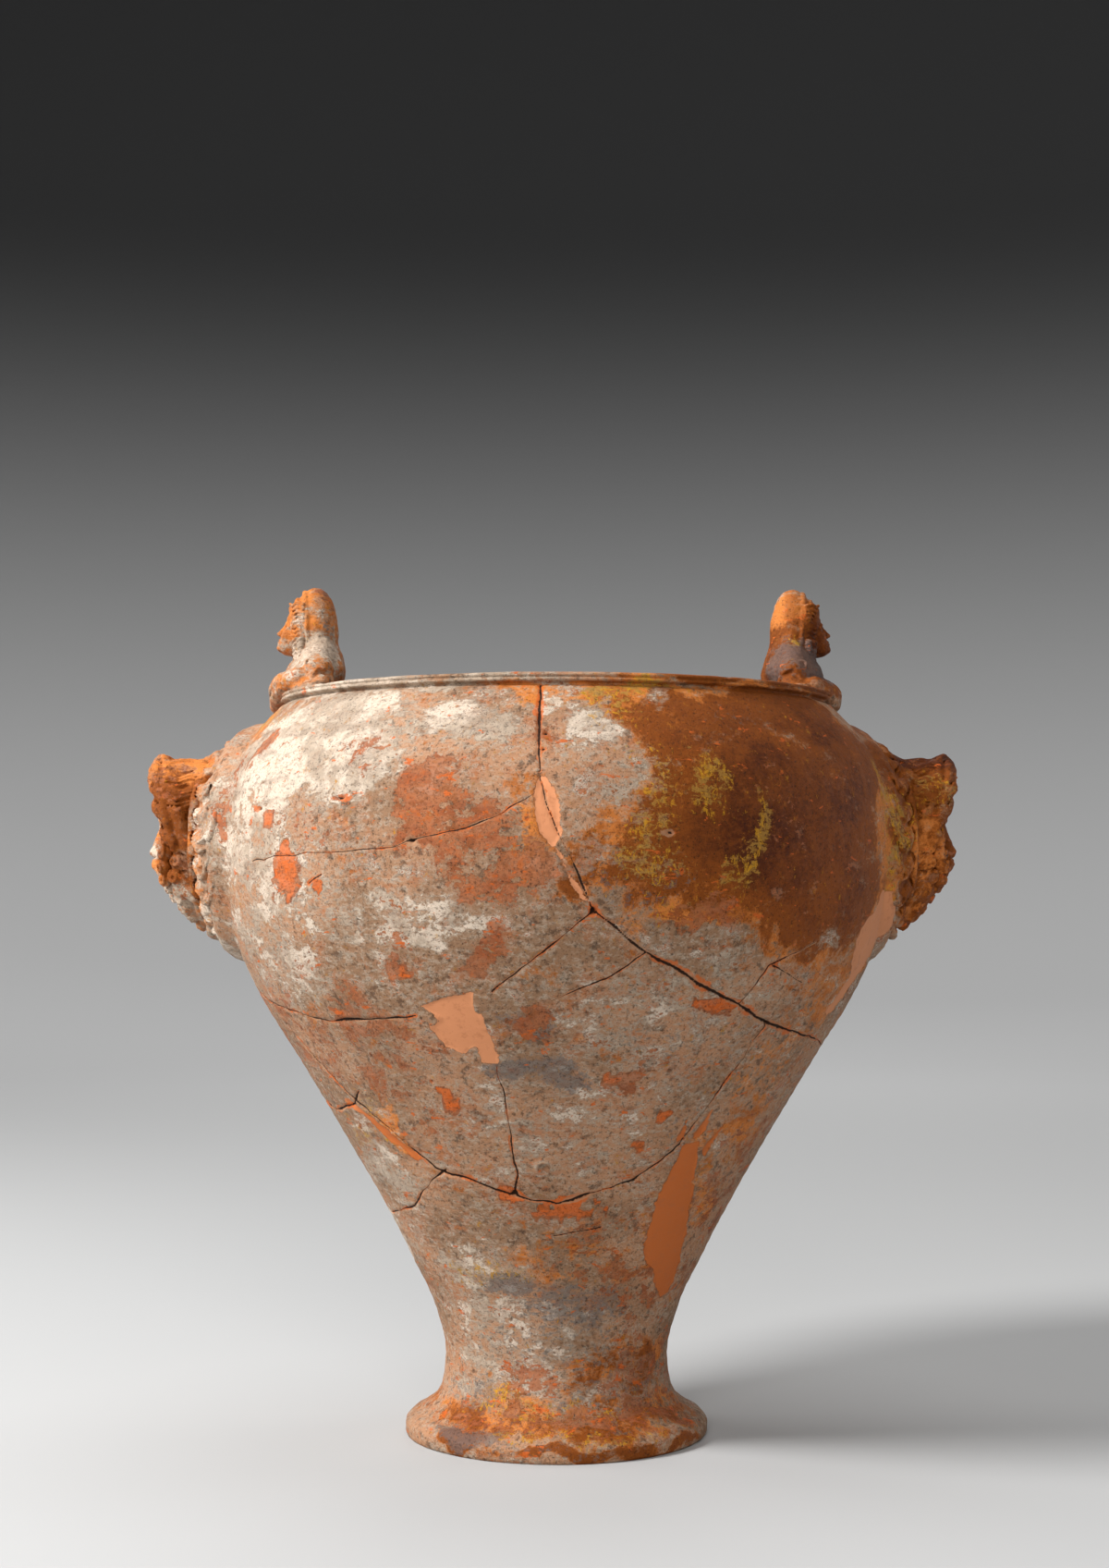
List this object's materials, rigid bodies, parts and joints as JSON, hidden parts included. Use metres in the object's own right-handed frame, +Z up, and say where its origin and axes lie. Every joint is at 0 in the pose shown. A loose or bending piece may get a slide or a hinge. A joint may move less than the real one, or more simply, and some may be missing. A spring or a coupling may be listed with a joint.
{
  "type": "terracotta situla",
  "caption": "Wide-mouthed turned clay vessel on a stem and spreading foot, with a bearded mask in a mane ring on each shoulder and a veiled bust above it on the rim.",
  "frame": {"origin": "middle of the foot's underside, on the vessel's turning axis", "axes": "+Z up along the turning axis, X through the two masks and busts, -Y the side seen in front"},
  "size_m": [0.4996, 0.416, 0.5195],
  "materials": {
    "terracotta": "matt fired clay with worn pale slip, orange exposures, brown stains and smooth salmon fills"
  },
  "bodies": {
    "root": {"situla": "terracotta"}
  },
  "joints": []
}
